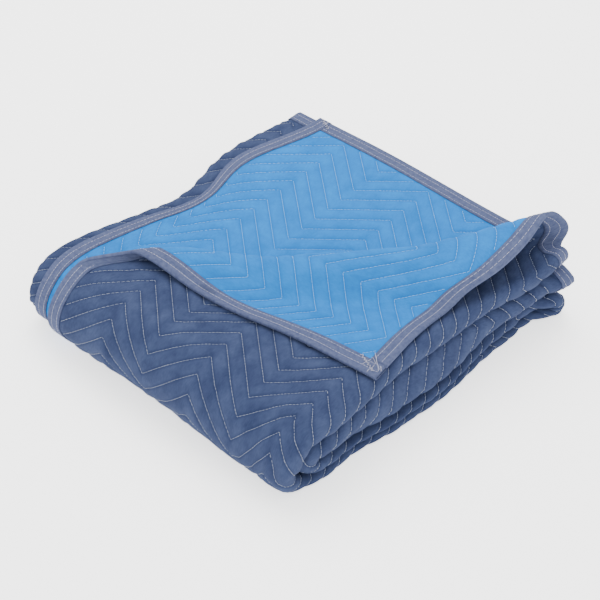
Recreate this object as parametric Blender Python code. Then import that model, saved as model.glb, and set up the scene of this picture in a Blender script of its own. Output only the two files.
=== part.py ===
import math

import bmesh
import bpy
from mathutils import Vector

# A quilted blanket folded four by four, with the corner of its top layer turned back.
# Flat, u runs across the cloth and v along it, and w is the height off its middle, navy side up.
# All sizes are in metres.
cloth = {
    "half": 0.0029,
    "seam": 0.00015,
    "hemHalf": 0.0016,
    "inset": 0.0017,
    "hemInner": 0.0222,
    "hemFull": 0.030,
}
tape = {"wide": 0.021, "under": 0.0019, "over": 0.0026, "back": 0.0011, "apart": 0.0003}
quilt = {"leg": 0.070, "rise": 0.063, "row": 0.0248, "peak": 0.060, "first": 0.001, "deep": 0.0011}

# The layers of one strip, lowest first, and the four strips stacked on each other.
ply = 0.0070
strip = 4 * ply
gap = 0.0009
floor = 0.5 * ply - cloth["half"]
sag = {"tops": [strip, 2 * strip + gap, 3 * strip + 2 * gap], "shares": [0.52, 0.78, 1.42],
       "hung": [0.46, 0.38, 1.88]}

# Where the layers end across the bundle, and how far its right side slants out at the back.
across = {
    "topHem": -0.178,
    "innerHem": -0.176,
    "underHem": -0.195,
    "rightTurn": 0.188,
    "innerTurn": 0.182,
    "slant": 0.040,
    "slantFrom": -0.034,
}
along = {"back": 0.246, "front": -0.167, "backTurn": 0.2238, "innerFront": -0.164}

# The turned-back corner rolls round a cone, whose point lies off the left of the bundle.
curl = {
    "x": -0.330,
    "y": -0.288,
    "line": 44.6,
    "ratio": 0.0365,
    "land": 0.0073,
    "run": 5.0,
    "between": [-0.067, 0.010, 0.097, 0.182],
}

topEnd = across["rightTurn"] - across["topHem"]
turnWide = math.pi * 1.5 * ply
turnSmall = math.pi * 0.5 * ply

# The innermost layer starts at a corner of the zigzag, so that its rows and the top layer's line up.
inner = 1.3
rightSides = across["rightTurn"] + across["innerTurn"]
across["leftTurn"] = (topEnd + turnWide + 2 * turnSmall + rightSides - inner) / 2
underFrom = topEnd + turnWide
underEnd = underFrom + across["rightTurn"] - across["leftTurn"]
secondFrom = underEnd + turnSmall
secondEnd = secondFrom + across["innerTurn"] - across["leftTurn"]
innerFrom = secondEnd + turnSmall
across["width"] = innerFrom + across["innerTurn"] - across["innerHem"]

wrap = strip + 1.5 * gap
frontArc = math.pi * (wrap + 3.5 * ply)
backArc = math.pi * (0.5 * gap + 3.5 * ply)
insideArc = math.pi * (strip + 0.5 * gap - 0.5 * ply)
topStop = along["back"] - along["front"]
lowFrom = topStop + frontArc
lowStop = lowFrom + along["backTurn"] - along["front"]
thirdFrom = lowStop + backArc
thirdStop = thirdFrom + along["backTurn"] - along["innerFront"]
secondRow = thirdStop + insideArc
along["length"] = secondRow + along["back"] - along["innerFront"]


def ramp(value, low, high):
    return min(1.0, max(0.0, (value - low) / (high - low)))


def smooth(value, low, high):
    part = ramp(value, low, high)
    return part * part * (3 - 2 * part)


def bump(value, centre, reach):
    return math.exp(-(((value - centre) / reach) ** 2))


# The lowest face of a strip at v: its place in y and z, and the way up through the strip.
def stripLine(v):
    high = 3 * strip + 3 * gap
    if v < topStop:
        return along["back"] - v, high, 0.0, 1.0
    if v < lowFrom:
        turn = math.pi * (v - topStop) / frontArc
        middle = 2 * strip + 1.5 * gap
        return (
            along["front"] - wrap * math.sin(turn),
            middle + wrap * math.cos(turn),
            -math.sin(turn),
            math.cos(turn),
        )
    if v < lowStop:
        return along["front"] + v - lowFrom, strip, 0.0, -1.0
    if v < thirdFrom:
        turn = math.pi * (v - lowStop) / backArc
        return (
            along["backTurn"] + 0.5 * gap * math.sin(turn),
            strip + 0.5 * gap * (1 - math.cos(turn)),
            math.sin(turn),
            -math.cos(turn),
        )
    if v < thirdStop:
        return along["backTurn"] - (v - thirdFrom), strip + gap, 0.0, 1.0
    middle = 2 * strip + 1.5 * gap
    outer = strip + 0.5 * gap
    if v < secondRow:
        turn = math.pi * (v - thirdStop) / insideArc
        return (
            along["innerFront"] - outer * math.sin(turn),
            middle - outer * math.cos(turn),
            math.sin(turn),
            math.cos(turn),
        )
    return along["innerFront"] + v - secondRow, middle + outer, 0.0, -1.0


def slant(v):
    y = stripLine(v)[0]
    return across["slant"] * ramp(y, across["slantFrom"], along["backTurn"])


# The middle of the cloth at u, in x and height through the strip, and its navy side.
def layerLine(u, v):
    wide = slant(v)
    right = across["rightTurn"] + wide
    left = across["leftTurn"] + wide
    if u < topEnd + wide:
        return across["topHem"] + u, 3.5 * ply, 0.0, 1.0
    if u < underFrom + wide:
        turn = math.pi * (u - topEnd - wide) / turnWide
        return (
            right + 1.5 * ply * math.sin(turn),
            2 * ply + 1.5 * ply * math.cos(turn),
            math.sin(turn),
            math.cos(turn),
        )
    if u < underEnd + wide:
        return right - (u - underFrom - wide), 0.5 * ply, 0.0, -1.0
    if u < secondFrom + wide:
        turn = math.pi * (u - underEnd - wide) / turnSmall
        return (
            left - 0.5 * ply * math.sin(turn),
            ply - 0.5 * ply * math.cos(turn),
            -math.sin(turn),
            -math.cos(turn),
        )
    if u < secondEnd:
        return across["innerTurn"] + u - secondEnd, 1.5 * ply, 0.0, 1.0
    if u < innerFrom:
        turn = math.pi * (u - secondEnd) / turnSmall
        return (
            across["innerTurn"] + 0.5 * ply * math.sin(turn),
            2 * ply - 0.5 * ply * math.cos(turn),
            -math.sin(turn),
            math.cos(turn),
        )
    return across["innerTurn"] - (u - innerFrom), 2.5 * ply, 0.0, -1.0


# How far the hem of a layer lies outside its straight line.
def slip(u, v):
    y = stripLine(v)[0]
    top = -0.032 * smooth(v, along["back"] + 0.10, along["back"] + 0.165)
    top *= 1 - smooth(v, topStop + 0.5 * frontArc, lowFrom)
    top *= 1 - ramp(u, cloth["hemFull"], quilt["peak"])
    if u <= innerFrom:
        return top
    inner = -0.006 - 0.034 * smooth(along["back"] - y, 0.0, 0.17) - 0.024 * smooth(-y, -0.05, 0.05)
    return top + inner * ramp(u, across["width"] - 0.058, across["width"] - cloth["hemFull"])


# The corner of the top layer beyond the roll's first line, or None where it lies flat.
def turnedBack(x, y, w):
    dx = x - curl["x"]
    dy = y - curl["y"]
    far = math.hypot(dx, dy)
    line = math.radians(curl["line"])
    past = math.atan2(dy, dx) - line
    if past <= 0:
        return None
    radius = curl["ratio"] * far
    arc = far * past
    if arc < math.pi * radius:
        turn = arc / radius
        lean = line + radius * math.sin(turn) / far
        side = Vector((-math.sin(lean), math.cos(lean), 0.0))
        height = radius * (1 - math.cos(turn))
        navy = Vector((0.0, 0.0, math.cos(turn))) - side * math.sin(turn)
    else:
        left = arc - math.pi * radius
        lean = line - left / far
        drop = smooth(left, 0.0, curl["run"] * radius)
        height = 2 * radius + (curl["land"] - 2 * radius) * drop
        navy = Vector((0.0, 0.0, -1.0))
    point = Vector((curl["x"] + far * math.cos(lean), curl["y"] + far * math.sin(lean), height))
    return point + navy * w


# How far the roll is drawn: towards the corner in its middle, and along itself at its open
# end. The last value is 1 on the flap, which keeps clear of the right side's own shift.
def drawnOver(x, y):
    dx = x - curl["x"]
    dy = y - curl["y"]
    far = math.hypot(dx, dy)
    line = math.radians(curl["line"])
    arc = far * (math.atan2(dy, dx) - line)
    beyond = arc - math.pi * curl["ratio"] * far
    over = 0.049 * smooth(far, 0.24, 0.42) + 0.008 * bump(arc, 0.03, 0.03) * smooth(far, 0.60, 0.70)
    over -= 0.038 * smooth(far, 0.54, 0.71) * (1 - smooth(beyond, 0.0, 0.06))
    over *= smooth(arc, -0.13, 0.0) * (1 - smooth(beyond, -0.03, 0.17))
    out = 0.052 * smooth(far, 0.48, 0.69) * smooth(arc, -0.02, 0.045) * (1 - smooth(beyond, 0.0, 0.08))
    held = 0.5 * smooth(arc, 0.0, 0.04) + 0.5 * smooth(beyond, 0.0, 0.05)
    shiftX = over * math.sin(line) + out * math.cos(line)
    shiftY = out * math.sin(line) - over * math.cos(line)
    shift = Vector((shiftX, shiftY, 0.0))
    return shift, held


# How high a place z up the bundle comes to lie at its right side, where the second strip
# from the top bulges and the strips under it are pressed flat.
def pressed(x, y, z):
    hanging = smooth(x, 0.11, 0.165) * smooth(y, -0.18, -0.09) * (1 - smooth(y, 0.04, 0.17))
    level = 0.0
    low = 0.0
    for top, usual, hung in zip(sag["tops"], sag["shares"], sag["hung"]):
        share = usual + (hung - usual) * hanging
        if z <= top:
            return level + (z - low) * share
        level += (top - low) * share
        low = top
    return level + z - low


# How far the right side lies in from its straight line, at a height z up the bundle.
def drawnIn(y, z):
    lower = 1 - smooth(z, 0.035, 0.062)
    upper = 0.012 + 0.006 * bump(y, 0.10, 0.06) + 0.008 * smooth(y, 0.16, 0.24)
    under = 0.004 + 0.016 * smooth(-y, 0.035, 0.12) + 0.020 * smooth(y, 0.0, 0.15)
    under += 0.006 * smooth(y, 0.15, 0.19) - 0.016 * smooth(y, 0.20, 0.24)
    inward = upper + (under - upper) * lower + 0.008 * smooth(-y, 0.15, 0.20)
    return inward - 0.014 * bump(z, 0.062, 0.012) * smooth(y, 0.20, 0.24)


# The whole bundle slumps: thin at its left front corner, and a little uneven elsewhere.
def settle(point, held):
    x, y, z = point
    beside = smooth(x, -0.10, 0.13)
    z += beside * (pressed(x, y, z - floor) + floor - z)
    low = 0.22 * bump(x, -0.28, 0.17) * bump(y, -0.22, 0.17)
    low += 0.05 * bump(x, -0.24, 0.16) * bump(y, 0.27, 0.16)
    low += 0.05 * bump(x, 0.22, 0.14) * bump(y, -0.22, 0.14)
    z = floor + (z - floor) * (1 - low)
    x += smooth(-x, 0.12, 0.25) * (0.038 * bump(y, 0.005, 0.08) - 0.012 * bump(y, -0.15, 0.05))
    x -= smooth(x, 0.10, 0.19) * drawnIn(y, z) * (1 - held)
    return Vector((x, y, z))


def place(u, v, w):
    x, up, navyX, navyUp = layerLine(u, v)
    x += slip(u, v) + navyX * w
    baseY, baseZ, leanY, leanZ = stripLine(v)
    turnAt = topEnd + slant(v)
    height = up + navyUp * w
    point = Vector((x, baseY + leanY * height, baseZ + leanZ * height))
    near = 1 - smooth(u, turnAt - 0.022, turnAt + 0.6 * turnWide)
    if near == 0 or v >= topStop:
        return settle(point, 0.0)
    shift, held = drawnOver(x, baseY)
    rolled = turnedBack(x, baseY, w) if u < turnAt else None
    if rolled is None:
        return settle(point + shift * near, 0.0)
    return settle(rolled + Vector((0.0, 0.0, baseZ + up)) + shift * near, held * near)


def steps(low, high, count):
    return [low + (high - low) * k / count for k in range(count + 1)]


def cutAll(bm, point, normal, keep=None):
    faces = [f for f in bm.faces if keep is None or keep(f)]
    edges = dict.fromkeys(e for f in faces for e in f.edges)
    verts = dict.fromkeys(v for f in faces for v in f.verts)
    bmesh.ops.bisect_plane(
        bm,
        geom=[*verts, *edges, *faces],
        dist=1e-6,
        plane_co=(point[0], point[1], 0.0),
        plane_no=(normal[0], normal[1], 0.0),
    )


# Where lines run the length of the cloth: at hems, zigzag corners and turns.
def acrossLines():
    near = cloth["hemInner"]
    corners = [quilt["peak"] + quilt["leg"] * k for k in range(5)]
    back = [secondEnd - across["innerTurn"] + across["topHem"] + at for at in corners[::2]]
    back.append(secondEnd - across["innerTurn"] + across["underHem"])
    inner = [innerFrom + across["innerTurn"] - across["topHem"] - at for at in corners]
    turn = steps(secondEnd, innerFrom, 3)
    return [near, *corners, *back, *turn, *inner, across["width"] - near]


# Lines that follow the slant of the right side: at the turns and between them.
def slantedLines():
    corners = [quilt["peak"] + quilt["leg"] * k for k in (0, 2, 4)]
    under = [underFrom + topEnd - at for at in corners]
    under.append(underFrom + across["rightTurn"] - across["underHem"])
    return steps(topEnd, underFrom, 4) + under + steps(underEnd, secondFrom, 3)


# The rows that all four strips share, at the same places in y.
def bendsOf(start, heading):
    rows = (-0.100, across["slantFrom"], 0.053, 0.140, along["backTurn"])
    return [start + heading * y for y in rows]


def alongLines():
    lines = bendsOf(along["back"], -1) + steps(topStop, lowFrom, 7)
    lines += bendsOf(lowFrom - along["front"], 1) + steps(lowStop, thirdFrom, 4)
    lines += bendsOf(thirdFrom + along["backTurn"], -1) + steps(thirdStop, secondRow, 4)
    lines += bendsOf(secondRow - along["innerFront"], 1)
    return sorted({round(line, 7) for line in lines})


# Where the slant of the right side starts or stops changing, down the length of the cloth.
def slantKnots():
    low = across["slantFrom"]
    high = along["backTurn"]
    knots = [0.0, along["back"] - high, along["back"] - low]
    knots += [lowFrom - along["front"] + low, lowStop, thirdFrom, thirdFrom + high - low]
    return knots + [secondRow - along["innerFront"] + at for at in (low, high)] + [along["length"]]


def centre(face):
    return face.calc_center_median()


# The angle past the roll's first line, from the cone's point, of a place in the top strip.
def pastRoll(u, v):
    x = layerLine(u, v)[0]
    y = stripLine(v)[0]
    return math.atan2(y - curl["y"], x - curl["x"]) - math.radians(curl["line"])


# The lines that slant, one stretch of the cloth at a time.
def cutTurns(bm):
    knots = slantKnots()
    for low, high in zip(knots, knots[1:]):
        shifts = slant(low + 1e-7), slant(high - 1e-7)
        for line in slantedLines():

            def keep(face, line=line):
                sides = [vert.co.x for vert in face.verts]
                return low < centre(face).y < high and min(sides) - 0.05 < line < max(sides)

            first = line + shifts[0]
            normal = (high - low, shifts[0] - shifts[1])
            cutAll(bm, (first, low), normal, keep)


# Lines from the cone's point, where the turned-back corner bends.
def cutRoll(bm):
    centreX = curl["x"] - across["topHem"]
    centreY = along["back"] - curl["y"]
    bends = [k / 6 * math.pi * curl["ratio"] for k in range(7)]
    falls = [math.pi * curl["ratio"] + curl["run"] * curl["ratio"] * k / 3 for k in (1, 2, 3)]

    def keep(face):
        at = centre(face)
        return at.x < topEnd + slant(at.y) and at.y < topStop

    for bend in bends + falls:
        angle = math.radians(curl["line"]) + bend
        cutAll(bm, (centreX, centreY), (math.sin(angle), math.cos(angle)), keep)

    def besideRoll(face):
        at = centre(face)
        return keep(face) and -0.12 < pastRoll(at.x, at.y) < 0.45

    for y in curl["between"]:
        cutAll(bm, (0.0, along["back"] - y), (0.0, 1.0), besideRoll)


# Where the cloth is full again past the binding, on the layers whose quilting shows.
def cutHems(bm):
    full = cloth["hemFull"]

    def besideSide(face):
        return centre(face).y < lowFrom

    def besideEnd(face):
        return not topEnd < centre(face).x < innerFrom

    for u in (full, across["width"] - full):
        cutAll(bm, (u, 0.0), (1.0, 0.0), besideSide)
    cutAll(bm, (0.0, full), (0.0, 1.0), besideEnd)


def cutGrid(bm):
    for u in acrossLines():
        cutAll(bm, (u, 0.0), (1.0, 0.0))
    for v in alongLines():
        cutAll(bm, (0.0, v), (0.0, 1.0))
    cutHems(bm)
    cutTurns(bm)
    cutRoll(bm)


# Each four-sided face is split the same way seen from above, so that layers keep nested.
def splitQuads(bm):
    for face in [f for f in bm.faces if len(f.verts) == 4]:
        verts = list(face.verts)
        spots = [place(v.co.x, v.co.y, 0.0) for v in verts]
        first = spots[2] - spots[0]
        second = spots[3] - spots[1]
        pair = (0, 2) if first.x * first.y >= second.x * second.y else (1, 3)
        bmesh.utils.face_split(face, verts[pair[0]], verts[pair[1]])
    bmesh.ops.triangulate(bm, faces=bm.faces[:], quad_method="SHORT_EDGE", ngon_method="BEAUTY")


# How far down the cloth a row of stitches lies at u, past its own peaks.
def zigzag(u):
    part = ((u - quilt["peak"]) / quilt["leg"]) % 2
    return quilt["rise"] * (part if part < 1 else 2 - part)


def recess(u, v):
    across_ = (v - quilt["first"] - zigzag(u)) / quilt["row"]
    away = abs(across_ - round(across_)) * 2
    return quilt["deep"] * (1 - away) ** 1.3


# Rows of quilting on the panels that show, one leg of the zigzag at a time.
def cutRows(bm, panels):
    for left, right, top, bottom, least, most in panels:
        columns = [k for k in range(-1, 23) if left < quilt["peak"] + quilt["leg"] * (k + 1)]
        columns = [k for k in columns if quilt["peak"] + quilt["leg"] * k < right]
        for column in columns:
            low = quilt["peak"] + quilt["leg"] * column
            falling = column % 2 == 0
            rise = quilt["rise"] if falling else -quilt["rise"]
            base = 0.0 if falling else quilt["rise"]

            def keep(face, low=low):
                at = centre(face)
                if not max(low, left) < at.x < min(low + quilt["leg"], right):
                    return False
                return top < at.y < bottom and least < pastRoll(at.x, at.y) < most

            first = math.floor((top - quilt["rise"]) / quilt["row"] * 2)
            last = math.ceil(bottom / quilt["row"] * 2)
            for row in range(first, last):
                start = quilt["first"] + row * quilt["row"] / 2 + base
                if max(start, start + rise) < top or min(start, start + rise) > bottom:
                    continue
                cutAll(bm, (low, start), (rise, -quilt["leg"]), keep)


# The cloth laid flat, cut along every line where it bends.
def flatGrid():
    edge = cloth["inset"]
    wide = across["width"] - edge
    long = along["length"] - edge
    bm = bmesh.new()
    corners = ((edge, edge), (wide, edge), (wide, long), (edge, long))
    bm.faces.new([bm.verts.new((u, v, 0.0)) for u, v in corners])
    cutGrid(bm)
    return bm


def fromEdge(u, v):
    return min(u, v, across["width"] - u, along["length"] - v)


def within(u, v, panels):
    for left, right, top, bottom, least, most in panels:
        if left <= u <= right and top <= v <= bottom and least < pastRoll(u, v) < most:
            return True
    return False


def spot(vert):
    return round(vert.co.x, 6), round(vert.co.y, 6)


# One face of the quilt with its half of the filling, folded to shape.
def quiltedFace(name, side, panels, look, grid):
    seam = grid.copy()
    splitQuads(seam)
    outside = grid.copy()
    cutRows(outside, panels)
    splitQuads(outside)
    full = cloth["hemFull"]
    bm = bmesh.new()
    inner = {}
    outer = {}
    for vert in seam.verts:
        u, v = spot(vert)
        inner[spot(vert)] = bm.verts.new(place(u, v, side * cloth["seam"]))
    for vert in outside.verts:
        u, v = spot(vert)
        thin = ramp(fromEdge(u, v), cloth["hemInner"], full)
        w = cloth["hemHalf"] + (cloth["half"] - cloth["hemHalf"]) * thin
        if within(u, v, panels) and fromEdge(u, v) > full - 1e-6:
            w -= recess(u, v)
        outer[spot(vert)] = bm.verts.new(place(u, v, side * w))
    for face in outside.faces:
        bm.faces.new([outer[spot(vert)] for vert in face.verts])
    for face in seam.faces:
        bm.faces.new([inner[spot(vert)] for vert in reversed(face.verts)])
    for edge in seam.edges:
        if edge.is_boundary:
            first, second = (spot(vert) for vert in edge.verts)
            bm.faces.new((inner[first], inner[second], outer[second], outer[first]))
    seam.free()
    outside.free()
    bmesh.ops.triangulate(bm, faces=bm.faces[:])
    bmesh.ops.recalc_face_normals(bm, faces=bm.faces[:])
    if bm.calc_volume(signed=True) < 0:
        bmesh.ops.reverse_faces(bm, faces=bm.faces[:])
    return finish(bm, name, look)


# A tape folded over one edge of the cloth: a channel in section, folded with the cloth.
def bindingRun(name, lengthwise, start, look):
    profile = [
        (0.0, -tape["over"]),
        (tape["wide"], -tape["over"]),
        (tape["wide"], -tape["under"]),
        (tape["back"], -tape["under"]),
        (tape["back"], tape["under"]),
        (tape["wide"], tape["under"]),
        (tape["wide"], tape["over"]),
        (0.0, tape["over"]),
    ]
    end = along["length"] if lengthwise else across["width"]
    trim = 0.0 if lengthwise else tape["wide"] + tape["apart"]
    far = (across["width"] if lengthwise else along["length"]) if not start else 0.0
    sign = 1.0 if start else -1.0
    bm = bmesh.new()
    rings = []
    for at in (trim, end - trim):
        ring = []
        for inward, w in profile:
            across_ = far + sign * inward
            ring.append(bm.verts.new((across_, at, w) if lengthwise else (at, across_, w)))
        rings.append(ring)
    count = len(profile)
    for k in range(count):
        following = (k + 1) % count
        bm.faces.new((rings[0][k], rings[0][following], rings[1][following], rings[1][k]))
    bm.faces.new(rings[0])
    bm.faces.new(rings[1])
    bmesh.ops.recalc_face_normals(bm, faces=bm.faces[:])
    cutGrid(bm)
    splitQuads(bm)
    for vert in bm.verts:
        vert.co = place(*vert.co)
    # Folding the flat cloth to shape mirrors it, so its faces are turned round.
    bmesh.ops.reverse_faces(bm, faces=bm.faces[:])
    return finish(bm, name, look)


def finish(bm, name, look):
    mesh = bpy.data.meshes.new(name)
    bm.to_mesh(mesh)
    bm.free()
    obj = bpy.data.objects.new(name, mesh)
    material = bpy.data.materials.new(name)
    material.use_nodes = True
    shader = material.node_tree.nodes["Principled BSDF"]
    shader.inputs["Base Color"].default_value = (*look, 1.0)
    shader.inputs["Roughness"].default_value = 0.9
    mesh.materials.append(material)
    bpy.context.scene.collection.objects.link(obj)
    return obj


def centreOnOrigin(objects):
    points = [v.co for obj in objects for v in obj.data.vertices]
    low = [min(p[k] for p in points) for k in range(3)]
    high = [max(p[k] for p in points) for k in range(3)]
    shift = Vector((-(low[0] + high[0]) / 2, -(low[1] + high[1]) / 2, -low[2]))
    for obj in objects:
        for vert in obj.data.vertices:
            vert.co += shift
    print("moved by", [round(value, 5) for value in shift])


def build():
    for obj in list(bpy.data.objects):
        bpy.data.objects.remove(obj)
    full = cloth["hemFull"]
    rolled = math.pi * curl["ratio"]
    topPanel = (full, topEnd, full, lowFrom, -3.0, rolled)
    flapPanel = (full, topEnd, full, topStop, 0.5 * rolled, 3.0)
    backPanel = (innerFrom + 0.02, across["width"] - full, full, topStop, 0.0, 3.0)
    navy = (0.060, 0.090, 0.223)
    blue = (0.070, 0.366, 0.738)
    grey = (0.133, 0.150, 0.301)
    grid = flatGrid()
    parts = [
        quiltedFace("navy_face", 1, [topPanel], navy, grid),
        quiltedFace("blue_back", -1, [flapPanel, backPanel], blue, grid),
        bindingRun("binding_top_side", True, True, grey),
        bindingRun("binding_inner_side", True, False, grey),
        bindingRun("binding_top_end", False, True, grey),
        bindingRun("binding_inner_end", False, False, grey),
    ]
    for part in parts:
        print(part.name, len(part.data.polygons))
    centreOnOrigin(parts)


build()
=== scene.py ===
import math

import bmesh
import bpy
import numpy as np
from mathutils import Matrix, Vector


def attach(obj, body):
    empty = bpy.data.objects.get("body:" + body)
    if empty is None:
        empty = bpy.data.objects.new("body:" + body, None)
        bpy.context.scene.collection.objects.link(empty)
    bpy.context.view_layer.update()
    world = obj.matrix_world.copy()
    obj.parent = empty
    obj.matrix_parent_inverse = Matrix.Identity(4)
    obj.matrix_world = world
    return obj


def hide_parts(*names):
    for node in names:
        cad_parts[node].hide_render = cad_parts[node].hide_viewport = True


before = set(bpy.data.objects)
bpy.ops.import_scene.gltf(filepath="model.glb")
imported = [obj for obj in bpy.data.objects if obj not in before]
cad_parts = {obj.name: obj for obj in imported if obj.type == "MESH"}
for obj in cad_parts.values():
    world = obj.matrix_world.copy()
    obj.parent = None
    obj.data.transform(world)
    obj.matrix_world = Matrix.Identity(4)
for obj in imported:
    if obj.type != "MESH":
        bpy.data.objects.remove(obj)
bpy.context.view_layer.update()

# The folded blanket is drawn in flat cloth coordinates, as in the part's source:
# u across the cloth, v along it, w off its middle with the navy side up. Metres.
middle = {"x": 0.01837, "y": -0.01922, "z": -0.0006}
cloth = {"half": 0.0029, "hemHalf": 0.0016, "inset": 0.0017, "hemInner": 0.0222, "hemFull": 0.030}
stack = {"ply": 0.0070, "strip": 0.028, "gap": 0.0009}
stack["floor"] = 0.5 * stack["ply"] - cloth["half"]
pressed = {"tops": (0.028, 0.0569, 0.0858), "shares": (0.52, 0.78, 1.42), "hung": (0.46, 0.38, 1.88)}
across = {"topHem": -0.178, "innerHem": -0.176, "right": 0.188, "inner": 0.182,
          "slant": 0.040, "slantFrom": -0.034}
along = {"back": 0.246, "front": -0.167, "backTurn": 0.2238, "innerFront": -0.164}
curl = {"x": -0.330, "y": -0.288, "line": 44.6, "ratio": 0.0365, "land": 0.0073, "run": 5.0}
quilt = {"leg": 0.070, "rise": 0.063, "row": 0.0248, "peak": 0.060, "first": 0.001}
# how far the hems slip out of line, and how far the roll is drawn over and out: each with
# the distances between which it sets in
slip = {"inner": 0.006, "front": 0.034, "frontReach": (0.0, 0.17), "middle": 0.024,
        "middleReach": (-0.05, 0.05), "hem": 0.058, "top": 0.032, "topReach": (0.10, 0.165)}
drawn = {"over": 0.049, "overReach": (0.24, 0.42), "crest": 0.008, "crestReach": (0.60, 0.70),
         "less": 0.038, "lessReach": (0.54, 0.71), "out": 0.052, "outReach": (0.48, 0.69)}
# corners that sink: the share of their height, then centre and reach in x and in y
sinks = [(0.22, -0.28, 0.17, -0.22, 0.17), (0.05, -0.24, 0.16, 0.27, 0.16),
         (0.05, 0.22, 0.14, -0.22, 0.14)]
# the right side's lower strips are drawn in: how far, which way along y, and from where to where
lowerIn = [(0.016, -1, 0.035, 0.12), (0.020, 1, 0.0, 0.15), (0.006, 1, 0.15, 0.19),
           (-0.016, 1, 0.20, 0.24)]

ply, strip, gap = stack["ply"], stack["strip"], stack["gap"]
topEnd = across["right"] - across["topHem"]
turnWide = math.pi * 1.5 * ply
turnSmall = math.pi * 0.5 * ply
across["left"] = (topEnd + turnWide + 2 * turnSmall + across["right"] + across["inner"] - 1.3) / 2
underFrom = topEnd + turnWide
underEnd = underFrom + across["right"] - across["left"]
secondFrom = underEnd + turnSmall
secondEnd = secondFrom + across["inner"] - across["left"]
innerFrom = secondEnd + turnSmall
clothWidth = innerFrom + across["inner"] - across["innerHem"]

wrap = strip + 1.5 * gap
frontArc = math.pi * (wrap + 3.5 * ply)
backArc = math.pi * (0.5 * gap + 3.5 * ply)
insideArc = math.pi * (strip + 0.5 * gap - 0.5 * ply)
topStop = along["back"] - along["front"]
lowFrom = topStop + frontArc
lowStop = lowFrom + along["backTurn"] - along["front"]
thirdFrom = lowStop + backArc
thirdStop = thirdFrom + along["backTurn"] - along["innerFront"]
secondRow = thirdStop + insideArc
clothLength = secondRow + along["back"] - along["innerFront"]


def ramp(value, low, high):
    return np.clip((value - low) / (high - low), 0.0, 1.0)


def smooth(value, low, high):
    part = ramp(value, low, high)
    return part * part * (3 - 2 * part)


def bump(value, centre, reach):
    return np.exp(-(((value - centre) / reach) ** 2))


def stripLine(v):
    # the lowest face of a strip at v: its y and z, and the way up through the strip
    middleZ = 2 * strip + 1.5 * gap
    outer = strip + 0.5 * gap
    front = math.pi * (v - topStop) / frontArc
    back = math.pi * (v - lowStop) / backArc
    inside = math.pi * (v - thirdStop) / insideArc
    where = [v < topStop, v < lowFrom, v < lowStop, v < thirdFrom, v < thirdStop, v < secondRow]
    nothing = np.zeros_like(v)
    y = np.select(where, [
        along["back"] - v,
        along["front"] - wrap * np.sin(front),
        along["front"] + v - lowFrom,
        along["backTurn"] + 0.5 * gap * np.sin(back),
        along["backTurn"] - (v - thirdFrom),
        along["innerFront"] - outer * np.sin(inside),
    ], along["innerFront"] + v - secondRow)
    z = np.select(where, [
        nothing + 3 * strip + 3 * gap,
        middleZ + wrap * np.cos(front),
        nothing + strip,
        strip + 0.5 * gap * (1 - np.cos(back)),
        nothing + strip + gap,
        middleZ - outer * np.cos(inside),
    ], nothing + middleZ + outer)
    leanY = np.select(where, [
        nothing, -np.sin(front), nothing, np.sin(back), nothing, np.sin(inside)], nothing)
    leanZ = np.select(where, [
        nothing + 1, np.cos(front), nothing - 1, -np.cos(back), nothing + 1, np.cos(inside)],
        nothing - 1)
    return y, z, leanY, leanZ


def slant(v):
    return across["slant"] * ramp(stripLine(v)[0], across["slantFrom"], along["backTurn"])


def layerLine(u, v):
    # the middle of the cloth at u: its x and height through the strip, and its navy side
    wide = slant(v)
    right = across["right"] + wide
    left = across["left"] + wide
    turnRight = math.pi * (u - topEnd - wide) / turnWide
    turnLeft = math.pi * (u - underEnd - wide) / turnSmall
    turnInner = math.pi * (u - secondEnd) / turnSmall
    nothing = np.zeros_like(u)
    where = [u < topEnd + wide, u < underFrom + wide, u < underEnd + wide, u < secondFrom + wide,
             u < secondEnd, u < innerFrom]
    x = np.select(where, [
        across["topHem"] + u,
        right + 1.5 * ply * np.sin(turnRight),
        right - (u - underFrom - wide),
        left - 0.5 * ply * np.sin(turnLeft),
        across["inner"] + u - secondEnd,
        across["inner"] + 0.5 * ply * np.sin(turnInner),
    ], across["inner"] - (u - innerFrom))
    high = np.select(where, [
        nothing + 3.5 * ply,
        2 * ply + 1.5 * ply * np.cos(turnRight),
        nothing + 0.5 * ply,
        ply - 0.5 * ply * np.cos(turnLeft),
        nothing + 1.5 * ply,
        2 * ply - 0.5 * ply * np.cos(turnInner),
    ], nothing + 2.5 * ply)
    navyX = np.select(where, [
        nothing, np.sin(turnRight), nothing, -np.sin(turnLeft), nothing, -np.sin(turnInner)],
        nothing)
    navyUp = np.select(where, [
        nothing + 1, np.cos(turnRight), nothing - 1, -np.cos(turnLeft), nothing + 1,
        np.cos(turnInner)], nothing - 1)
    return x, high, navyX, navyUp


def hemSlip(u, v):
    # how far the hem of a layer lies outside its straight line
    y = stripLine(v)[0]
    inner = -slip["inner"] - slip["front"] * smooth(along["back"] - y, *slip["frontReach"])
    inner = inner - slip["middle"] * smooth(-y, *slip["middleReach"])
    inner = inner * ramp(u, clothWidth - slip["hem"], clothWidth - cloth["hemFull"])
    topFrom, topTo = slip["topReach"]
    top = -slip["top"] * smooth(v, along["back"] + topFrom, along["back"] + topTo)
    top = top * (1 - smooth(v, topStop + 0.5 * frontArc, lowFrom))
    top = top * (1 - ramp(u, cloth["hemFull"], quilt["peak"]))
    return np.where(u > innerFrom, inner, 0.0) + top


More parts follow.
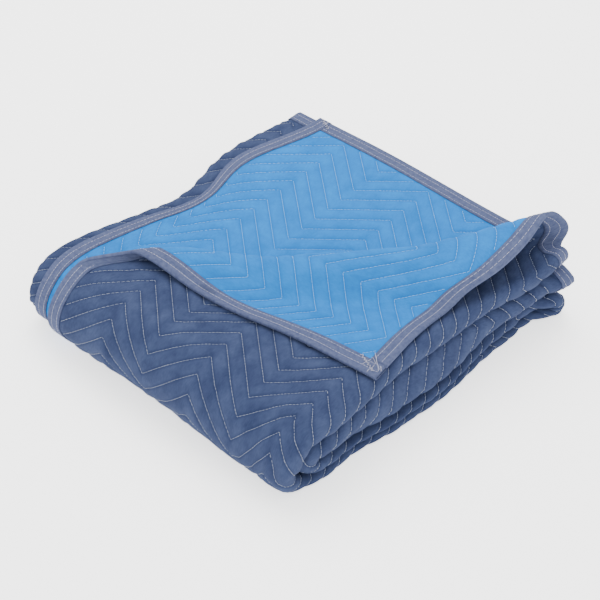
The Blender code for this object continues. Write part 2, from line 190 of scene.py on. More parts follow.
def turnedBack(x, y, w):
    # the top layer's corner past the roll's first line
    dx = x - curl["x"]
    dy = y - curl["y"]
    far = np.hypot(dx, dy)
    line = math.radians(curl["line"])
    past = np.arctan2(dy, dx) - line
    radius = curl["ratio"] * far
    arc = far * past
    rolling = arc < math.pi * radius
    turn = np.clip(arc / radius, 0.0, math.pi)
    beyond = np.maximum(arc - math.pi * radius, 0.0)
    lean = np.where(rolling, line + radius * np.sin(turn) / far, line - beyond / far)
    drop = smooth(beyond, 0.0, curl["run"] * radius)
    height = np.where(rolling, radius * (1 - np.cos(turn)),
                      2 * radius + (curl["land"] - 2 * radius) * drop)
    side = np.sin(turn)
    spot = np.stack([
        curl["x"] + far * np.cos(lean) + np.sin(lean) * side * w,
        curl["y"] + far * np.sin(lean) - np.cos(lean) * side * w,
        height + np.cos(turn) * w,
    ], axis=-1)
    return past > 0, spot


def drawnOver(x, y):
    # the roll is drawn towards the corner in its middle, and along itself at its open end
    dx = x - curl["x"]
    dy = y - curl["y"]
    far = np.hypot(dx, dy)
    line = math.radians(curl["line"])
    arc = far * (np.arctan2(dy, dx) - line)
    beyond = arc - math.pi * curl["ratio"] * far
    crest = drawn["crest"] * bump(arc, 0.03, 0.03) * smooth(far, *drawn["crestReach"])
    less = drawn["less"] * smooth(far, *drawn["lessReach"]) * (1 - smooth(beyond, 0.0, 0.06))
    over = drawn["over"] * smooth(far, *drawn["overReach"]) + crest - less
    over = over * smooth(arc, -0.13, 0.0) * (1 - smooth(beyond, -0.03, 0.17))
    out = drawn["out"] * smooth(far, *drawn["outReach"])
    out = out * smooth(arc, -0.02, 0.045) * (1 - smooth(beyond, 0.0, 0.08))
    held = 0.5 * smooth(arc, 0.0, 0.04) + 0.5 * smooth(beyond, 0.0, 0.05)
    return np.stack([over * math.sin(line) + out * math.cos(line),
                     out * math.sin(line) - over * math.cos(line), held])


def pressedHeight(x, y, z):
    # strips low in the right side are pressed flat, and the second from the top hangs over them
    hanging = smooth(x, 0.11, 0.165) * smooth(y, -0.18, -0.09) * (1 - smooth(y, 0.04, 0.17))
    level = np.zeros_like(z)
    low = 0.0
    for top, usual, hung in zip(pressed["tops"], pressed["shares"], pressed["hung"]):
        level += (np.clip(z, low, top) - low) * (usual + (hung - usual) * hanging)
        low = top
    return level + np.maximum(z - low, 0.0) + np.minimum(z, 0.0)


def settle(x, y, z, held):
    # the finished bundle sinks at its corners and is drawn in at its left and right sides
    floor = stack["floor"]
    beside = smooth(x, -0.10, 0.13)
    z = z + beside * (pressedHeight(x, y, z - floor) + floor - z)
    sunk = np.zeros_like(z)
    for share, atX, reachX, atY, reachY in sinks:
        sunk += share * bump(x, atX, reachX) * bump(y, atY, reachY)
    z = floor + (z - floor) * (1 - sunk)
    edge = smooth(-x, 0.12, 0.25)
    x = x + edge * (0.038 * bump(y, 0.005, 0.08) - 0.012 * bump(y, -0.15, 0.05))
    lower = 1 - smooth(z, 0.035, 0.062)
    upper = 0.012 + 0.006 * bump(y, 0.10, 0.06) + 0.008 * smooth(y, 0.16, 0.24)
    under = 0.004
    for much, way, start, stop in lowerIn:
        under = under + much * smooth(way * y, start, stop)
    inward = upper + (under - upper) * lower + 0.008 * smooth(-y, 0.15, 0.20)
    inward = inward - 0.014 * bump(z, 0.062, 0.012) * smooth(y, 0.20, 0.24)
    x = x - smooth(x, 0.10, 0.19) * inward * (1 - held)
    return np.stack([x + middle["x"], y + middle["y"], z + middle["z"]], axis=-1)


def place(u, v, w):
    # from flat cloth coordinates to where the point lies on the folded blanket
    x, up, navyX, navyUp = layerLine(u, v)
    x = x + hemSlip(u, v) + navyX * w
    baseY, baseZ, leanY, leanZ = stripLine(v)
    rolled, spot = turnedBack(x, baseY, w)
    turnAt = topEnd + slant(v)
    near = (1 - smooth(u, turnAt - 0.022, turnAt + 0.6 * turnWide)) * (v < topStop)
    overX, overY, held = drawnOver(x, baseY) * near
    flap = rolled & (u < turnAt) & (v < topStop)
    height = up + navyUp * w
    px = np.where(flap, spot[..., 0], x) + overX
    py = np.where(flap, spot[..., 1], baseY + leanY * height) + overY
    pz = np.where(flap, baseZ + up + spot[..., 2], baseZ + leanZ * height)
    return settle(px, py, pz, np.where(flap, held, 0.0))


def quiltPlace(u, v):
    # where the stitching lies: a hem that slipped outwards carries more quilting
    return np.where(u > innerFrom, u - hemSlip(u, v), u + hemSlip(u, v))


def zigzag(u):
    part = ((u - quilt["peak"]) / quilt["leg"]) % 2
    return quilt["rise"] * np.where(part < 1, part, 2 - part)


def rowsAway(u, v):
    # 0 on a row of stitches, 1 half way to the next
    rows = (v - quilt["first"] - zigzag(quiltPlace(u, v))) / quilt["row"]
    return np.abs(rows - np.round(rows)) * 2


def fromEdge(u, v):
    return np.minimum(np.minimum(u, v), np.minimum(clothWidth - u, clothLength - v))


# the quilting: grooves at the stitches, gathers across them and slow waves between them
puff = {"deep": 0.0014, "sharp": 0.30, "steep": 1.5, "swell": 0.0005,
        "pucker": 0.00022, "puckerReach": 0.45, "puckerStep": 0.0105, "puckerLean": 0.3,
        "uneven": 0.0006, "calm": 0.35, "freeFrom": 0.30, "freeTo": 0.36, "freeMore": 1.3}
waves = {"count": 6, "longest": 0.085, "shorter": 1.32, "turn": 2.4, "start": 0.7,
         "bend": 1.7, "bendRate": 31.0, "fade": 0.45, "level": 3}
# creases pressed into the navy side: both ends in flat cloth coordinates, width and depth
creases = [
    (0.315, 0.423, 0.352, 0.426, 0.0030, 0.0013), (0.335, 0.432, 0.366, 0.440, 0.0028, 0.0013),
    (0.352, 0.446, 0.378, 0.456, 0.0026, 0.0012), (0.366, 0.432, 0.384, 0.444, 0.0026, 0.0012),
    (0.314, 0.436, 0.340, 0.446, 0.0030, 0.0010), (0.359, 0.363, 0.380, 0.385, 0.0030, 0.0010),
    (0.017, 0.382, 0.043, 0.362, 0.0032, 0.0014), (0.032, 0.386, 0.059, 0.367, 0.0030, 0.0013),
    (0.042, 0.385, 0.081, 0.369, 0.0032, 0.0012), (0.020, 0.330, 0.090, 0.345, 0.0040, 0.0014),
    (0.104, 0.442, 0.107, 0.378, 0.0060, 0.0010), (0.120, 0.470, 0.148, 0.387, 0.0060, 0.0009),
    (0.212, 0.428, 0.236, 0.378, 0.0060, 0.0009), (0.222, 0.461, 0.252, 0.431, 0.0050, 0.0010),
]


def uneven(u, v):
    # slow waves of the loose cloth between its stitches
    total = np.zeros_like(u)
    for k in range(waves["count"]):
        heading = waves["turn"] * k + waves["start"]
        length = waves["longest"] / waves["shorter"] ** k
        travel = u * math.cos(heading) + v * math.sin(heading)
        bent = waves["bend"] * np.sin(waves["bendRate"] * (u - v) + k)
        total += np.sin(2 * math.pi * travel / length + bent) / (1 + waves["fade"] * k)
    return total / waves["level"]


def creased(u, v):
    # each crease is a furrow with a low ridge beside it, fading out at its ends
    total = np.zeros_like(u)
    for u0, v0, u1, v1, wide, deep in creases:
        long = math.hypot(u1 - u0, v1 - v0)
        at = ((u - u0) * (u1 - u0) + (v - v0) * (v1 - v0)) / long ** 2
        off = ((u - u0) * (v1 - v0) - (v - v0) * (u1 - u0)) / long
        ends = smooth(at, 0.0, 0.35) * (1 - smooth(at, 0.65, 1.0))
        total += deep * ends * (0.6 * bump(off, 1.6 * wide, wide) - bump(off, 0.0, wide))
    return total


def faceHeight(u, v, side):
    # how far the cloth stands off its middle: grooves at the stitches, thin at the hems
    thin = ramp(fromEdge(u, v), cloth["hemInner"], cloth["hemFull"])
    full = cloth["hemHalf"] + (cloth["half"] - cloth["hemHalf"]) * thin
    away = rowsAway(u, v)
    groove = np.exp(-((away / puff["sharp"]) ** puff["steep"]))
    gathers = np.sin(2 * math.pi * (u + puff["puckerLean"] * v) / puff["puckerStep"])
    pucker = puff["pucker"] * bump(away, 0.0, puff["puckerReach"]) * gathers
    loose = puff["uneven"] * uneven(u, v) * (puff["calm"] + (1 - puff["calm"]) * away)
    if side > 0:
        # the front of the top strip hangs free and is looser
        free = smooth(v, puff["freeFrom"], puff["freeTo"])
        free = free * (1 - smooth(v, topStop + 0.10, lowFrom)) * (u < topEnd)
        loose = loose * (1 + puff["freeMore"] * free) + creased(u, v)
    return full + thin * (puff["swell"] * away - puff["deep"] * groove + pucker + loose)


def spaced(low, high, step):
    return np.linspace(low, high, max(1, round((high - low) / step)) + 1)


def rowKnots(low, high):
    # lines that follow the rows of stitches, closest at the stitches
    first = math.floor((low - quilt["rise"] - quilt["first"]) / quilt["row"])
    last = math.ceil((high - quilt["first"]) / quilt["row"])
    within = np.array([0.0, 0.06, 0.14, 0.26, 0.42, 0.58, 0.74, 0.86, 0.94])
    rows = np.arange(first, last + 1)[:, None] + within
    return quilt["first"] + quilt["row"] * rows.ravel()


def gridMesh(uKnots, vKnots):
    bm = bmesh.new()
    bmesh.ops.create_grid(bm, x_segments=len(uKnots) - 1, y_segments=len(vKnots) - 1, size=0.5)
    mesh = bpy.data.meshes.new("zone")
    bm.to_mesh(mesh)
    bm.free()
    co = np.empty(len(mesh.vertices) * 3, np.float32)
    mesh.vertices.foreach_get("co", co)
    co = co.reshape(-1, 3).astype(float)
    u = np.interp((co[:, 0] + 0.5) * (len(uKnots) - 1), np.arange(len(uKnots)), uKnots)
    v = np.interp((co[:, 1] + 0.5) * (len(vKnots) - 1), np.arange(len(vKnots)), vKnots)
    return mesh, u, v


def setFlatMap(mesh, u, v):
    # the piece's own UV map holds its flat place, in metres
    loops = np.empty(len(mesh.loops), np.int32)
    mesh.loops.foreach_get("vertex_index", loops)
    layer = mesh.uv_layers.new(name="flat")
    layer.data.foreach_set("uv", np.stack([u[loops], v[loops]], axis=-1).astype(np.float32).ravel())


def setPlaces(mesh, points):
    mesh.vertices.foreach_set("co", points.astype(np.float32).ravel())
    mesh.update()


def weld(bm):
    # joins what meets, such as the edges of two zones
    bmesh.ops.remove_doubles(bm, verts=bm.verts[:], dist=2e-6)


def finished(name, mesh, material):
    mesh.name = name
    mesh.materials.clear()
    mesh.materials.append(material)
    obj = bpy.data.objects.new(name, mesh)
    bpy.context.scene.collection.objects.link(obj)
    return obj


def clothZone(uLow, uHigh, vLow, vHigh, steps, side):
    # steps across and along, where 0 lays the grid along the rows of stitches
    uStep, vStep = steps
    uKnots = spaced(uLow, uHigh, uStep) if np.isscalar(uStep) else uStep
    knots = rowKnots(vLow, vHigh) if vStep == 0 else spaced(vLow, vHigh, vStep)
    mesh, u, v = gridMesh(uKnots, knots)
    if vStep == 0:
        row = v
        v = np.clip(row + zigzag(u), vLow, vHigh)
        for _ in range(3):
            v = np.clip(row + zigzag(quiltPlace(u, v)), vLow, vHigh)
    setFlatMap(mesh, u, v)
    # the distance from the rows of stitches, which the cloth materials use to paint shade into the stitch
    # grooves
    near = mesh.attributes.new("away", "FLOAT", "POINT")
    near.data.foreach_set("value", rowsAway(u, v).astype(np.float32))
    setPlaces(mesh, place(u, v, side * faceHeight(u, v, side)))
    return mesh


def joinZones(name, zones, side, material):
    bm = bmesh.new()
    for mesh in zones:
        bm.from_mesh(mesh)
        bpy.data.meshes.remove(mesh)
    weld(bm)
    bmesh.ops.recalc_face_normals(bm, faces=bm.faces[:])
    bm.faces.ensure_lookup_table()
    # zones that don't touch are turned one by one, so that each shows its outside
    layer = bm.loops.layers.uv.active
    done = set()
    for start in bm.faces:
        if start in done:
            continue
        island = [start]
        done.add(start)
        for face in island:
            for edge in face.edges:
                for other in edge.link_faces:
                    if other not in done:
                        done.add(other)
                        island.append(other)
        face = island[len(island) // 2]
        flat = face.loops[0][layer].uv
        u, v = np.array([flat.x]), np.array([flat.y])
        out = place(u, v, np.array([side * 0.003]))[0] - place(u, v, np.array([0.0]))[0]
        if face.normal.dot(Vector(out)) < 0:
            bmesh.ops.reverse_faces(bm, faces=island)
    mesh = bpy.data.meshes.new(name)
    bm.to_mesh(mesh)
    bm.free()
    mesh.polygons.foreach_set("use_smooth", np.ones(len(mesh.polygons), bool))
    return finished(name, mesh, material)


def nodeGroup(name, outputs):
    # a shared effect: one place coming in, values going out
    group = bpy.data.node_groups.new(name, "ShaderNodeTree")
    group.interface.new_socket("Place", in_out="INPUT", socket_type="NodeSocketVector")
    for label in outputs:
        group.interface.new_socket(label, in_out="OUTPUT", socket_type="NodeSocketFloat")
    return group, group.nodes.new("NodeGroupInput").outputs["Place"], group.nodes.new("NodeGroupOutput")


def scaled(tree, source, factors):
    node = tree.nodes.new("ShaderNodeVectorMath")
    node.operation = "MULTIPLY"
    node.inputs[1].default_value = factors
    tree.links.new(source, node.inputs[0])
    return node.outputs["Vector"]


def noise(tree, source, factors, detail, rough=0.55):
    node = tree.nodes.new("ShaderNodeTexNoise")
    node.inputs["Scale"].default_value = 1.0
    node.inputs["Detail"].default_value = detail
    node.inputs["Roughness"].default_value = rough
    tree.links.new(scaled(tree, source, factors), node.inputs["Vector"])
    return node.outputs["Fac"]


def ranged(tree, source, low, high, toLow=0.0, toHigh=1.0):
    node = tree.nodes.new("ShaderNodeMapRange")
    node.inputs["From Min"].default_value = low
    node.inputs["From Max"].default_value = high
    node.inputs["To Min"].default_value = toLow
    node.inputs["To Max"].default_value = toHigh
    tree.links.new(source, node.inputs["Value"])
    return node.outputs["Result"]


def maths(tree, operation, first, second):
    node = tree.nodes.new("ShaderNodeMath")
    node.operation = operation
    for socket, value in zip(node.inputs, (first, second)):
        if isinstance(value, (int, float)):
            socket.default_value = value
        else:
            tree.links.new(value, socket)
    return node.outputs["Value"]


def mixed(tree, share, first, second):
    node = tree.nodes.new("ShaderNodeMix")
    node.data_type = "RGBA"
    tree.links.new(share, node.inputs["Factor"])
    node.inputs["A"].default_value = (*first, 1)
    node.inputs["B"].default_value = (*second, 1)
    return node.outputs["Result"]


# brushed cloth: soft lighter patches, short streaks and the fibres' own height
felt, feltPlace, feltEnd = nodeGroup("brushedCloth", ("Patches", "Streaks", "Height"))
patches = noise(felt, feltPlace, (46, 30, 40), 5, 0.60)
streaks = noise(felt, feltPlace, (900, 170, 400), 3, 0.6)
fibres = noise(felt, feltPlace, (3800, 1500, 2000), 2, 0.7)
felt.links.new(ranged(felt, patches, 0.32, 0.70), feltEnd.inputs["Patches"])
felt.links.new(ranged(felt, streaks, 0.34, 0.68), feltEnd.inputs["Streaks"])
felt.links.new(maths(felt, "ADD", maths(felt, "MULTIPLY", streaks, 0.6), fibres), feltEnd.inputs["Height"])

# woven tape: fine ribs across and along, and slow changes of tone
weave, weavePlace, weaveEnd = nodeGroup("wovenTape", ("Tone", "Height"))
ribRate = 290
ribs = []
for turn in (1, -1):
    band = weave.nodes.new("ShaderNodeTexWave")
    band.inputs["Scale"].default_value = 1.0
    band.inputs["Distortion"].default_value = 0.6
    weave.links.new(scaled(weave, weavePlace, (ribRate, turn * ribRate, 0)), band.inputs["Vector"])
    ribs.append(band.outputs["Fac"])
crossed = maths(weave, "MULTIPLY", *ribs)
slow = ranged(weave, noise(weave, weavePlace, (220, 220, 220), 3), 0.3, 0.7)
weave.links.new(crossed, weaveEnd.inputs["Height"])
weave.links.new(slow, weaveEnd.inputs["Tone"])


def fabric(name, group, look):
    mat = bpy.data.materials.new(name)
    mat.use_nodes = True
    tree = mat.node_tree
    shader = tree.nodes["Principled BSDF"]
    flat = tree.nodes.new("ShaderNodeUVMap")
    flat.uv_map = "flat"
    effect = tree.nodes.new("ShaderNodeGroup")
    effect.node_tree = group
    tree.links.new(flat.outputs["UV"], effect.inputs["Place"])
    share = effect.outputs[0]
    if look["streaks"]:
        share = maths(tree, "ADD", maths(tree, "MULTIPLY", share, 1 - look["streaks"]),
                      maths(tree, "MULTIPLY", effect.outputs["Streaks"], look["streaks"]))
        near = tree.nodes.new("ShaderNodeAttribute")
        near.attribute_name = "away"
        # painted shade in the stitch grooves: the cloth's colour is darkened towards the rows of stitches,
        # down to a quarter on the rows
        share = maths(tree, "MULTIPLY", share, ranged(tree, near.outputs["Fac"], 0.0, 0.42, 0.25, 1.0))
    tree.links.new(mixed(tree, share, look["deep"], look["pale"]), shader.inputs["Base Color"])
    raised = tree.nodes.new("ShaderNodeBump")
    raised.inputs["Strength"].default_value = 0.7
    raised.inputs["Distance"].default_value = look["raised"]
    tree.links.new(effect.outputs["Height"], raised.inputs["Height"])
    tree.links.new(raised.outputs["Normal"], shader.inputs["Normal"])
    shader.inputs["Roughness"].default_value = 0.88
    shader.inputs["Specular IOR Level"].default_value = 0.12
    shader.inputs["Sheen Weight"].default_value = look["sheen"]
    shader.inputs["Sheen Roughness"].default_value = 0.45
    shader.inputs["Sheen Tint"].default_value = (*look["pale"], 1)
    return mat


def threadMaterial(name, deep, pale):
    mat = bpy.data.materials.new(name)
    mat.use_nodes = True
    tree = mat.node_tree
    shader = tree.nodes["Principled BSDF"]
    spot = tree.nodes.new("ShaderNodeTexCoord")
    tone = ranged(tree, noise(tree, spot.outputs["Object"], (700, 700, 700), 2), 0.35, 0.65)
    tree.links.new(mixed(tree, tone, deep, pale), shader.inputs["Base Color"])
    shader.inputs["Roughness"].default_value = 0.6
    shader.inputs["Sheen Weight"].default_value = 0.2
    return mat


navyCloth = {"deep": (0.014, 0.022, 0.060), "pale": (0.041, 0.058, 0.122),
             "streaks": 0.35, "raised": 0.00035, "sheen": 0.16}
blueCloth = {"deep": (0.0, 0.105, 0.345), "pale": (0.0, 0.172, 0.520),
             "streaks": 0.40, "raised": 0.00035, "sheen": 0.0}
tapeCloth = {"deep": (0.044, 0.056, 0.118), "pale": (0.078, 0.094, 0.170),
             "streaks": 0.0, "raised": 0.00020, "sheen": 0.12}
navyLook = fabric("navyCloth", felt, navyCloth)
blueLook = fabric("blueCloth", felt, blueCloth)
tapeLook = fabric("tapeCloth", weave, tapeCloth)
threadGrey = threadMaterial("threadGrey", (0.14, 0.17, 0.26), (0.28, 0.32, 0.42))
threadBlue = threadMaterial("threadBlue", (0.10, 0.30, 0.60), (0.22, 0.46, 0.76))
threadTape = threadMaterial("threadTape", (0.24, 0.25, 0.36), (0.42, 0.42, 0.52))

edge = cloth["inset"]
uFar = clothWidth - edge
vFar = clothLength - edge
besideTurn = topEnd - 0.02
# steps of the grids: 0 along follows the rows, where the cloth is seen, and the rest lie
# inside the bundle or under it
grids = {"seen": (0.0032, 0), "side": (0.0040, 0), "behind": (0.0042, 0), "turns": (0.0050, 0),
         "inside": (0.012, 0.0065), "middle": (0.014, 0.0065), "under": (0.015, 0.0065),
         "blueMiddle": (0.014, 0.012), "blueInside": (0.014, 0.010)}

print("navy face")
split = underFrom + 0.075
pastFront = lowFrom + 0.03
turnsFrom, turnsTo = underEnd - 0.03, secondFrom + 0.055
backFrom, backTo = lowStop - 0.03, thirdFrom + 0.03
underKnots = np.unique(np.concatenate([
    spaced(turnsTo, clothWidth - 0.10, 0.013), spaced(clothWidth - 0.10, uFar, 0.005)]))
navy = joinZones("navy_quilt", [
    clothZone(edge, split, edge, pastFront, grids["seen"], 1),
    clothZone(besideTurn, split, pastFront, vFar, grids["side"], 1),
    clothZone(turnsFrom, turnsTo, edge, vFar, grids["turns"], 1),
    clothZone(split, turnsFrom, edge, vFar, grids["middle"], 1),
    clothZone(turnsTo, uFar, edge, pastFront, (underKnots, 0.0055), 1),
    clothZone(turnsTo, uFar, pastFront, vFar, grids["under"], 1),
    clothZone(edge, besideTurn, pastFront, backFrom, grids["inside"], 1),
    clothZone(edge, besideTurn, backFrom, backTo, grids["behind"], 1),
    clothZone(edge, besideTurn, backTo, vFar, grids["inside"], 1),
], 1, navyLook)

print("blue back")
pastRoll, pastTop = topEnd + 0.03, topStop + 0.16
innerNear = innerFrom - 0.004
blue = joinZones("blue_quilt", [
    clothZone(edge, pastRoll, edge, topStop + 0.02, grids["seen"], -1),
    clothZone(innerNear, uFar, edge, pastTop, grids["seen"], -1),
    clothZone(pastRoll, innerNear, edge, pastTop, grids["blueMiddle"], -1),
    clothZone(edge, uFar, pastTop, vFar, grids["blueInside"], -1),
], -1, blueLook)
for piece in (navy, blue):
    print(piece.name, len(piece.data.polygons))

tape = {"wide": 0.021, "under": 0.0019, "over": 0.0026, "back": 0.0011, "apart": 0.0003,
        "step": 0.0035, "bends": (0.0165, 0.0135, 0.0105, 0.007, 0.004, 0.0015),
        "fold": ((0.0004, 0.0019), (0.0, 0.0008))}


def bindingPiece(name, lengthwise, start, material):
    # a tape folded over one hem: its section is a channel, taken along the whole edge
    section = [(tape["wide"], -tape["under"]), (tape["wide"], -tape["over"])]
    section += [(at, -tape["over"]) for at in tape["bends"]]
    section += [(at, -off) for at, off in tape["fold"]]
    section += reversed(tape["fold"])
    section += [(at, tape["over"]) for at in reversed(tape["bends"])]
    section += [(tape["wide"], tape["over"]), (tape["wide"], tape["under"])]
    section = np.array(section + [(tape["back"], tape["under"]), (tape["back"], -tape["under"])])
    end = clothLength if lengthwise else clothWidth
    trim = 0.0 if lengthwise else tape["wide"] + tape["apart"]
    alongKnots = spaced(trim, end - trim, tape["step"])
    mesh, alongTape, ring = gridMesh(alongKnots, np.arange(len(section) + 1.0))
    ringAt = np.round(ring).astype(int) % len(section)
    inward, w = section[ringAt, 0], section[ringAt, 1]
    far = 0.0 if start else (clothWidth if lengthwise else clothLength)
    inward = far + (1 if start else -1) * inward
    u, v = (inward, alongTape) if lengthwise else (alongTape, inward)
    setFlatMap(mesh, u, v)
    setPlaces(mesh, place(u, v, w))
    bm = bmesh.new()
    bm.from_mesh(mesh)
    weld(bm)
    bmesh.ops.holes_fill(bm, edges=[e for e in bm.edges if e.is_boundary], sides=0)
    bmesh.ops.recalc_face_normals(bm, faces=bm.faces[:])
    bm.to_mesh(mesh)
    bm.free()
    mesh.polygons.foreach_set("use_smooth", np.ones(len(mesh.polygons), bool))
    return finished(name, mesh, material)


print("bindings")
bindings = {
    "binding_top_side": bindingPiece("tape_top_side", True, True, tapeLook),
    "binding_inner_side": bindingPiece("tape_inner_side", True, False, tapeLook),
    "binding_top_end": bindingPiece("tape_top_end", False, True, tapeLook),
    "binding_inner_end": bindingPiece("tape_inner_end", False, False, tapeLook),
}

thread = {"thick": 0.00028, "pitch": 0.0042, "length": 0.0035, "sunk": 0.00020, "proud": 0.00034,
          "sample": 0.0005}


def rowStitches(rows, uLow, uHigh, vLow, vHigh, points=3):
    # the flat places of points along each stitch on these rows
    found = []
    for row in rows:
        u = np.arange(uLow, uHigh, thread["sample"])
        v = quilt["first"] + quilt["row"] * row + zigzag(u)
        for _ in range(3):
            v = quilt["first"] + quilt["row"] * row + zigzag(quiltPlace(u, v))
        run = np.concatenate([[0], np.cumsum(np.hypot(np.diff(u), np.diff(v)))])
        starts = np.arange(0.0, run[-1] - thread["length"], thread["pitch"])
        parts = starts[:, None] + np.linspace(0.0, 1.0, points) * thread["length"]
        us = np.interp(parts, run, u)
        vs = np.interp(parts, run, v)
        good = (vs.min(axis=1) > vLow) & (vs.max(axis=1) < vHigh)
        found.append(np.stack([us, vs], axis=-1)[good])
    return np.concatenate(found)


def stitchLine(flat, side):
    # places each stitch on its face: ends sunk in the groove, middle standing proud
    u, v = flat[..., 0], flat[..., 1]
    lift = np.full(flat.shape[1], thread["proud"])
    lift[[0, -1]] = -thread["sunk"]
    return place(u, v, side * (faceHeight(u, v, side) + lift))


def threadPiece(name, runs, material):
    curve = bpy.data.curves.new(name, "CURVE")
    curve.dimensions = "3D"
    curve.bevel_depth = thread["thick"]
    curve.bevel_resolution = 0
    curve.use_fill_caps = True
    for points in runs:
        spline = curve.splines.new("POLY")
        spline.points.add(len(points) - 1)
        spline.points.foreach_set("co", np.c_[points, np.ones(len(points))].ravel())
    curved = bpy.data.objects.new("curved", curve)
    mesh = bpy.data.meshes.new_from_object(curved)
    bpy.data.objects.remove(curved)
    bpy.data.curves.remove(curve)
    return finished(name, mesh, material)


print("stitches")
sewn = cloth["hemInner"] + 0.001
sewnFar = clothLength - sewn
sideTo = underFrom + 0.03
topRuns = stitchLine(rowStitches(range(-3, 26), sewn, besideTurn, sewn, lowFrom), 1)
turnRuns = stitchLine(rowStitches(range(-3, 26), besideTurn, sideTo, sewn, lowFrom, 4), 1)
sideRuns = stitchLine(rowStitches(range(20, 82), besideTurn, sideTo, lowFrom, sewnFar, 4), 1)
leftRuns = stitchLine(rowStitches(range(-3, 82), turnsFrom, turnsTo, sewn, sewnFar), 1)
behindRuns = stitchLine(rowStitches(range(20, 62), sewn, besideTurn, backFrom, backTo), 1)
navyRuns = [*topRuns, *turnRuns, *sideRuns, *leftRuns, *behindRuns]
threads = [threadPiece("thread_navy", navyRuns, threadGrey)]
flapRuns = stitchLine(rowStitches(range(-3, 17), sewn, topEnd, sewn, topStop), -1)
backRuns = stitchLine(rowStitches(range(-3, 22), innerFrom + 0.01, clothWidth - sewn, sewn,
                                  topStop + 0.10), -1)
threads.append(threadPiece("thread_blue", [*flapRuns, *backRuns], threadBlue))
print("stitches", len(navyRuns), len(flapRuns), len(backRuns))

seam = {"rows": (0.0080, 0.0168), "pitch": 0.0042, "length": 0.0037, "first": 0.003,
        "lift": 0.0003, "waver": 0.0003, "waverRate": 90, "past": 0.05}


def tapeSeams(lengthwise, start, stop):
    # two rows of stitches on both faces of one binding
    runs = []
    end = clothLength if lengthwise else clothWidth
    far = 0.0 if start else (clothWidth if lengthwise else clothLength)
    first = seam["first"] if lengthwise else tape["wide"] + seam["first"]
    starts = np.arange(first, min(end, stop) - first, seam["pitch"])
    parts = starts[:, None] + np.array([0.0, 0.5, 1.0]) * seam["length"]
    for inward in seam["rows"]:
        wavering = inward + seam["waver"] * np.sin(parts * seam["waverRate"])
        off = far + (1 if start else -1) * wavering
        u, v = (off, parts) if lengthwise else (parts, off)
        for side in (1, -1):
            lift = np.array([-seam["lift"], seam["lift"], -seam["lift"]])
            runs.extend(place(u, v, side * (tape["over"] + lift)))
    return runs


# the side tapes are sewn as far as they show
sideStop = lowFrom + seam["past"]
tapeRuns = [*tapeSeams(True, True, sideStop), *tapeSeams(True, False, sideStop),
            *tapeSeams(False, True, clothWidth), *tapeSeams(False, False, clothWidth)]

chance = np.random.default_rng(7)
tackWork = {"swing": 0.35, "spacing": 0.25, "lift": 0.0003, "more": 0.0002}


def barTack(u0, v0, u1, v1, turns, spread, passes):
    # loose ends sewn down: a zigzag gone over more than once, on the side facing up
    runs = []
    long = math.hypot(u1 - u0, v1 - v0)
    for again in range(passes):
        swing = spread * np.where(np.arange(turns + 1) % 2, 1, -1)
        swing = swing + chance.normal(0, spread * tackWork["swing"], turns + 1)
        share = np.linspace(0, 1, turns + 1) + chance.normal(0, tackWork["spacing"] / turns, turns + 1)
        u = u0 + (u1 - u0) * share - (v1 - v0) / long * swing
        v = v0 + (v1 - v0) * share + (u1 - u0) / long * swing
        nearHem = np.minimum(np.minimum(u, v), clothWidth - u) < tape["wide"]
        off = np.where(nearHem, tape["over"], cloth["half"])
        runs.append(place(u, v, -(off + tackWork["lift"] + tackWork["more"] * again)))
    return runs


# from and to in flat coordinates, turns, spread and how many times it is gone over
nearTacks = [
    (0.0203, 0.0330, 0.0062, 0.0080, 13, 0.0013, 3),
    (0.0290, 0.0200, 0.0122, 0.0050, 4, 0.0003, 2),
    (0.0082, 0.0244, 0.0205, 0.0200, 3, 0.0003, 1),
    (0.0015, 0.0139, 0.0150, 0.0120, 3, 0.0004, 1),
    (0.0236, 0.0212, 0.0140, 0.0040, 4, 0.0008, 1),
    (0.0167, 0.0050, 0.0120, 0.0012, 2, 0.0002, 1),
]
farTacks = [
    (clothWidth - 0.0073, 0.0010, clothWidth - 0.0270, 0.0130, 8, 0.0017, 3),
    (clothWidth - 0.0129, 0.0096, clothWidth - 0.0188, 0.0010, 4, 0.0009, 2),
]
tacks = []
for tack in nearTacks + farTacks:
    tacks += barTack(*tack)
threads.append(threadPiece("thread_tape", [*tapeRuns, *tacks], threadTape))
print("tape stitches", len(tapeRuns))

for piece in (navy, blue, *bindings.values(), *threads):
    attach(piece, "root")
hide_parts("navy_face")
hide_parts("blue_back")
for node, piece in bindings.items():
    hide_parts(node)

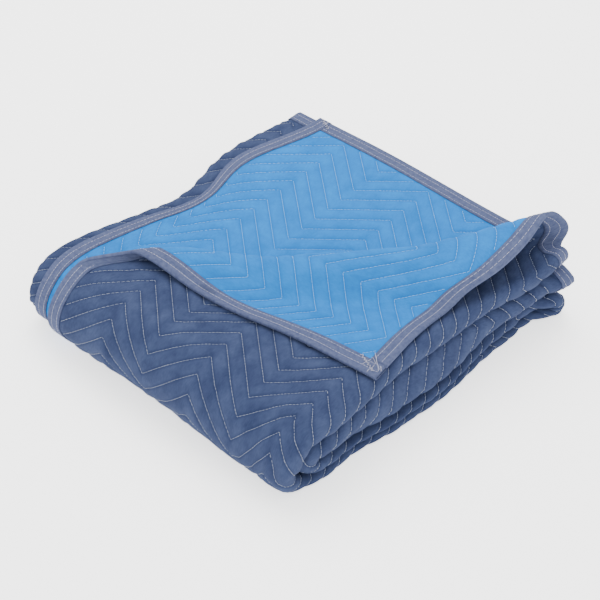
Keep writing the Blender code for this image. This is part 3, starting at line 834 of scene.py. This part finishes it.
print("room and camera")
floorMesh = bpy.data.meshes.new("floor")
bm = bmesh.new()
bmesh.ops.create_grid(bm, x_segments=1, y_segments=1, size=6)
bm.to_mesh(floorMesh)
bm.free()
studio = {"floor": (0.95, 0.95, 0.95, 1), "floorGlow": 1.4, "sky": 1.9, "above": 50, "front": 9}
paleFloor = bpy.data.materials.new("paleFloor")
paleFloor.use_nodes = True
floorShader = paleFloor.node_tree.nodes["Principled BSDF"]
floorShader.inputs["Base Color"].default_value = studio["floor"]
floorShader.inputs["Roughness"].default_value = 0.9
floorShader.inputs["Emission Color"].default_value = (1, 1, 1, 1)
floorShader.inputs["Emission Strength"].default_value = studio["floorGlow"]
floor = finished("floor", floorMesh, paleFloor)

world = bpy.data.worlds.new("studio")
bpy.context.scene.world = world
world.use_nodes = True
world.node_tree.nodes["Background"].inputs["Color"].default_value = (1, 1, 1, 1)
world.node_tree.nodes["Background"].inputs["Strength"].default_value = studio["sky"]


def areaLight(name, at, toward, size, power):
    data = bpy.data.lights.new(name, "AREA")
    data.size = size
    data.energy = power
    lamp = bpy.data.objects.new(name, data)
    lamp.location = at
    lamp.rotation_euler = (Vector(toward) - Vector(at)).to_track_quat("-Z", "Y").to_euler()
    bpy.context.scene.collection.objects.link(lamp)


areaLight("softboxAbove", (-0.6, 0.5, 1.9), (0, 0, 0), 1.6, studio["above"])
areaLight("softboxFront", (1.4, -1.3, 1.3), (0, 0, 0.05), 1.2, studio["front"])

camera = {"azimuth": 41.4, "elevation": 43.5, "away": 1.98, "lens": 97.4,
          "target": (middle["x"], middle["y"], 0.055 + middle["z"])}
azimuth, elevation = math.radians(camera["azimuth"]), math.radians(camera["elevation"])
backward = Vector((math.sin(azimuth) * math.cos(elevation),
                   -math.cos(azimuth) * math.cos(elevation), math.sin(elevation)))
cameraData = bpy.data.cameras.new("camera")
cameraData.sensor_width = 36
cameraData.lens = camera["lens"]
cameraObject = bpy.data.objects.new("camera", cameraData)
cameraObject.location = Vector(camera["target"]) + backward * camera["away"]
cameraObject.rotation_euler = (-backward).to_track_quat("-Z", "Y").to_euler()
bpy.context.scene.collection.objects.link(cameraObject)
bpy.context.scene.camera = cameraObject
